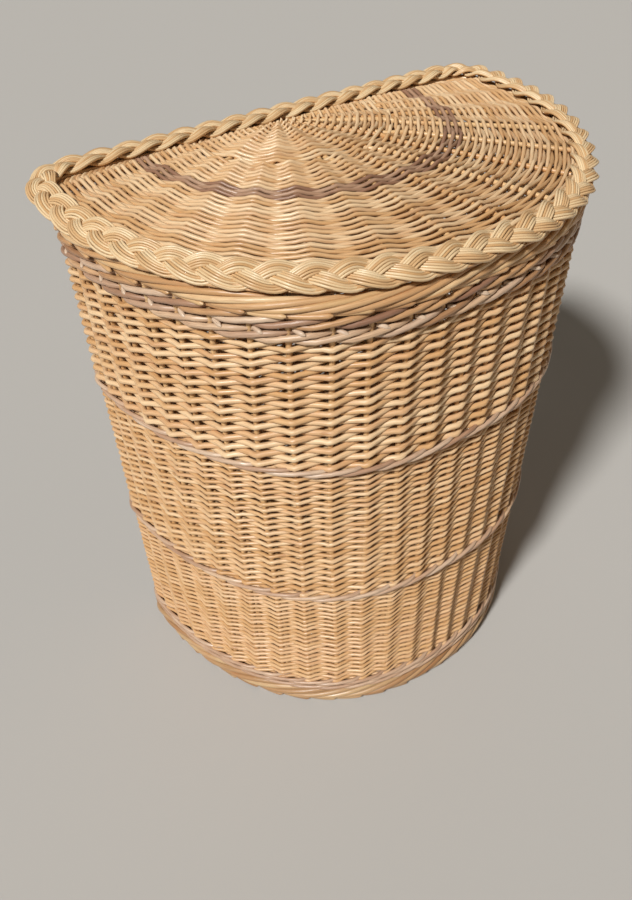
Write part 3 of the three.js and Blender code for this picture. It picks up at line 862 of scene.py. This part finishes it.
def rim_tails(bundle):
    """Pale rod ends laid one after another along the hoop, round the lid's front and sides."""
    steps = np.linspace(0, 1, 16)
    run = TAIL_RUN / RIM_TAILS
    tails = []
    for k in range(RIM_TAILS):
        start = (k + TAIL_START) / RIM_TAILS
        if TAIL_SPAN[0] < start - run and start < TAIL_SPAN[1]:
            height = TAIL_Z + TAIL_RISE * steps ** 1.6 + TAIL_SCATTER * bundle.chance.normal()
            inset = TAIL_INSET + TAIL_TUCK * steps ** 2 + TAIL_SCATTER * bundle.chance.normal()
            tails.append(lid(start - run * steps, inset, height))
    bundle.add(np.stack(tails), TAIL_POINT + TAIL_SWELL * np.minimum(steps * 4, 1))


def rim_rods():
    """The hoop rod under the plait, two bars along its back, and the rods that it lies on."""
    bundle = Bundle(32)
    u = np.linspace(0, 1, 361)[None, :]
    bundle.add(lid(u, RIM_ROD_INSET, HINGE_Z), RIM_ROD_RADIUS, sides=HOOP_SIDES)
    spine, across, raised = braid_frame(u)
    for y in BACK_BAR_YS:
        bar = np.linspace((-BACK_BAR_HALF, y, BACK_BAR_Z), (BACK_BAR_HALF, y, BACK_BAR_Z), 60)
        bundle.add(bar[None], BACK_BAR_RADIUS)
    under = BRAID_HEAVE + 2 * BRAID_ROD_RADIUS + BED_GAP
    for shift, drop in BED_RODS:
        depth = under + drop * (1 - frontness(u)[..., None])
        bundle.add(spine + across * shift - raised * depth, BED_ROD_RADIUS)
    rim_tails(bundle)
    return bundle.piece("lid_rim_rods", border_willow, "border_willow", "lid", "lid_rim")


def panel_reach_table():
    """The lid panel's reach from the hub in each direction, -90 to 90 degrees from the front."""
    u = np.linspace(0.0, 1.0, 2000)
    xs, ys = lid_plan.at(u, PANEL_INSET)
    angle = np.arctan2(xs, HUB_Y - ys)
    reach = np.hypot(xs, HUB_Y - ys)
    keep = np.abs(angle) <= math.pi / 2
    order = np.argsort(angle[keep])
    return angle[keep][order], reach[keep][order]


REACH_ANGLES, REACHES = panel_reach_table()


def panel(angle, share, lift):
    """A point of the lid's domed panel: rows are scaled copies of its edge about the hub."""
    angle, share, lift = np.broadcast_arrays(angle, share, lift)
    crowded = np.maximum(share, 0.001) ** (1 - SIDE_CROWDING * np.sin(angle) ** 2)
    reach = crowded * np.interp(angle, REACH_ANGLES, REACHES)
    z = PANEL_MIDDLE + PANEL_DOME * (1 - share ** 2) + lift
    return np.stack([reach * np.sin(angle), HUB_Y - reach * np.cos(angle), z], axis=-1)


PAIR_STEP = math.pi / LID_PAIRS
FORK = PAIR_STEP / 4


def column_angles(share):
    """Where the rows cross stakes: eight closed pairs near the hub, sixteen rods further out."""
    pairs = (np.arange(LID_PAIRS) - (LID_PAIRS - 1) / 2) * PAIR_STEP
    if share < PAIR_OPENS_AT:
        return pairs
    return np.sort(np.concatenate([pairs - FORK, pairs + FORK]))


def hub_size(share, least):
    """How much thinner rods are near the hub: least at the hub and 1 from HUB_SHARE outwards."""
    return least + (1 - least) * smooth(share / HUB_SHARE)


def panel_row(bundle, row, share, tone_top):
    """One row of the lid's weave, over and under the stakes, turned down at both back ends."""
    columns = column_angles(share)
    side = (-1) ** row
    knots = np.concatenate([[-math.pi / 2], columns, [math.pi / 2]])
    heights = side * np.array([(-1) ** k for k in range(len(knots))], dtype=float)
    angles, lifts = [], []
    for k in range(len(knots) - 1):
        for spot, depth in zip(WEAVE_SPOTS, WEAVE_DEPTHS):
            angles.append(knots[k] + spot * (knots[k + 1] - knots[k]))
            lifts.append(heights[k] * depth)
    angles = np.array(angles + [knots[-1]])
    lifts = np.array(lifts + [heights[-1]])
    reach = LID_STAKE_RADIUS + PANEL_ROD / 2 - PANEL_PRESS
    from_end = (math.pi / 2 - np.abs(angles)) * share * ROW_END_REACH
    end = np.maximum(1 - from_end / ROW_END_RUN, 0)
    lift = lifts * reach * (1 - end) - ROW_END_DROP * end
    lift = lift + PANEL_LIFT_SCATTER * bundle.chance.normal(size=lift.shape)
    waver = share + PANEL_ROW_WAVER * bundle.chance.normal(size=lift.shape)
    size = PANEL_ROD / 2 * bundle.chance.uniform(*PANEL_ROD_SIZES)
    size = size * (1 + SIDE_FULLNESS * np.sin(angles) ** 2) * hub_size(share, HUB_ROD_SIZE)
    tone = tone_top * bundle.chance.random((1, 1))
    bundle.add(panel(angles, waver, lift)[None], size[None], tone=tone)


def panel_weave():
    """The lid's woven panel: buff rows, a dark band of a few rows, and buff rows again."""
    inner, dark, outer = Bundle(41), Bundle(42), Bundle(43)
    for row in range(PANEL_ROWS):
        share = (row + FIRST_ROW) / ROWS_TO_EDGE
        if share < DARK_BAND[0]:
            panel_row(inner, row, share, BUFF_TONE_TOP)
        elif share < DARK_BAND[1]:
            panel_row(dark, row, share, DARK_TONE_TOP)
        else:
            panel_row(outer, row, share, BUFF_TONE_TOP)
    inner.piece("lid_weave_inner", buff_willow, "buff_willow", "lid", "lid_inner_weave")
    dark.piece("lid_weave_dark_band", mauve_willow, "mauve_willow", "lid", "lid_dark_band")
    outer.piece("lid_weave_outer", buff_willow, "buff_willow", "lid", "lid_outer_weave")


def lid_stakes():
    """Eight pairs of stakes fanned from the hub, each pair opening into a fork."""
    bundle = Bundle(44)
    share = np.linspace(*LID_STAKE_SPAN, 60)
    radius = LID_STAKE_RADIUS * hub_size(share, HUB_STAKE_SIZE)
    beside = (radius + PAIR_GAP) / np.maximum(share * LID_STAKE_REACH, HUB_LEAST_REACH)
    opened = smooth((share - PAIR_OPENS_AT + PAIR_OPENS_BEFORE) / PAIR_OPENING)
    spread = beside * (1 - opened) + FORK * opened
    for k in range(LID_PAIRS):
        middle = (k - (LID_PAIRS - 1) / 2) * PAIR_STEP
        for side in (-1, 1):
            bundle.add(panel(middle + side * spread, share, 0)[None], radius[None])
    nodes = [f"lid_stake_pair_{k}" for k in range(1, LID_PAIRS + 1)]
    return bundle.piece("lid_stakes", stake_willow, "stake_willow", "lid", *nodes)


# ---------------------------------------------------------------- hinge loops
def belt(centre_a, radius_a, centre_b, radius_b, samples):
    """A closed belt round two circles in the y, z plane, as points in order."""
    gap = np.array(centre_b) - np.array(centre_a)
    distance = np.linalg.norm(gap)
    bearing = math.atan2(gap[1], gap[0])
    lean = math.acos((radius_a - radius_b) / distance)
    turns_b = np.linspace(-lean, lean, samples) + bearing
    turns_a = np.linspace(lean, 2 * math.pi - lean, samples) + bearing
    part_b = np.stack([centre_b[0] + radius_b * np.cos(turns_b),
                       centre_b[1] + radius_b * np.sin(turns_b)], axis=-1)
    part_a = np.stack([centre_a[0] + radius_a * np.cos(turns_a),
                       centre_a[1] + radius_a * np.sin(turns_a)], axis=-1)
    return np.concatenate([part_b, part_a, part_b[:1]])


def hinge_loop(name, seed, node, x):
    """Turns of rod side by side, round the lid's hoop rod and the body's top border."""
    bundle = Bundle(seed)
    eye = RIM_ROD_RADIUS + LOOP_SLACK + LOOP_ROD / 2
    ring = belt((HINGE_Y, HINGE_Z), eye, BORDER_MIDDLE, LOOP_LOW_RADIUS, LOOP_SAMPLES)
    for k in range(LOOP_TURNS):
        place = x + (k - (LOOP_TURNS - 1) / 2) * LOOP_ROD
        lean = np.linspace(-LOOP_LEAN, LOOP_LEAN, len(ring))
        path = np.column_stack([place + lean, ring])
        bundle.add(path[None], LOOP_ROD / 2, up=(1, 0, 0))
    return bundle.piece(name, border_willow, "border_willow", "hamper", node)


# ---------------------------------------------------------------- room
# the floor's half width is in metres
FLOOR_HALF = 6.0
FLOOR_COLOUR = (0.47, 0.46, 0.445)
FLOOR_ROUGHNESS = 0.9
ROOM_COLOUR = (1.0, 0.87, 0.7)
ROOM_STRENGTH = 0.1

# the way each lamp shines, the width of its disc in degrees, its strength and its colour
LAMPS = {
    "key": ((0.82, 0.33, -0.87), 8, 3.9, (1.0, 0.985, 0.95)),
    "fill": ((-0.3, -0.7, -0.6), 60, 0.15, (0.97, 0.98, 1.0)),
    "bounce": ((-0.75, 0.55, -0.35), 60, 0.25, (1.0, 0.72, 0.42)),
}


def make_floor():
    """A plain pale floor."""
    corners = [(-1, -1), (1, -1), (1, 1), (-1, 1)]
    mesh = bpy.data.meshes.new("floor")
    mesh.from_pydata([(x * FLOOR_HALF, y * FLOOR_HALF, 0) for x, y in corners], [], [(0, 1, 2, 3)])
    floor = bpy.data.objects.new("floor", mesh)
    material = bpy.data.materials.new("floor")
    material.use_nodes = True
    shader = material.node_tree.nodes["Principled BSDF"]
    shader.inputs["Base Color"].default_value = (*FLOOR_COLOUR, 1)
    shader.inputs["Roughness"].default_value = FLOOR_ROUGHNESS
    mesh.materials.append(material)
    bpy.context.scene.collection.objects.link(floor)


def sun_light(name, toward, angle, strength, colour):
    """A lamp far away, shining along a direction, with soft-edged shadows."""
    data = bpy.data.lights.new(name, "SUN")
    data.angle = math.radians(angle)
    data.energy = strength
    data.color = colour
    light = bpy.data.objects.new(name, data)
    light.rotation_mode = "QUATERNION"
    light.rotation_quaternion = Vector(toward).to_track_quat("-Z", "Y")
    bpy.context.scene.collection.objects.link(light)


def make_lights():
    """One strong lamp from the upper left, two weak ones and a dim warm room."""
    for name, lamp in LAMPS.items():
        sun_light(name, *lamp)
    world = bpy.data.worlds.new("studio")
    world.use_nodes = True
    background = world.node_tree.nodes["Background"]
    background.inputs["Color"].default_value = (*ROOM_COLOUR, 1)
    background.inputs["Strength"].default_value = ROOM_STRENGTH
    bpy.context.scene.world = world
    bpy.context.scene.view_settings.view_transform = "Standard"


# ---------------------------------------------------------------- the whole hamper
make_camera()
body_stakes()
weave_zone("lower_weave_rods", 1, "lower_weave", **LOWER_ZONE)
weave_zone("middle_weave_rods", 2, "middle_weave", **MIDDLE_ZONE)
weave_zone("upper_weave_rods", 3, "upper_weave", **UPPER_ZONE)

wales("foot_wale_rods", 4, "foot_wale", **FOOT_WALE)
wales("lower_wale_rods", 5, "lower_dividing_wale", **LOWER_WALE)
wales("upper_wale_rods", 6, "upper_dividing_wale", **UPPER_WALE)
wales("top_wale_rods", 7, "top_wale", **TOP_WALE, butts=TOP_WALE_BUTTS)

rolled_border("top_border_rods", 8, "top_border", border_willow, "border_willow", **TOP_BORDER)
rolled_border("foot_border_rods", 9, "foot_border", foot_willow, "foot_willow", **FOOT_BORDER)
base_weave()
base_sticks()

panel_weave()
lid_stakes()
braid()
rim_rods()
hinge_loop("hinge_loop_left_rods", 51, "hinge_loop_left", -LOOP_X)
hinge_loop("hinge_loop_right_rods", 52, "hinge_loop_right", LOOP_X)

make_floor()
make_lights()

bpy.context.view_layer.update()
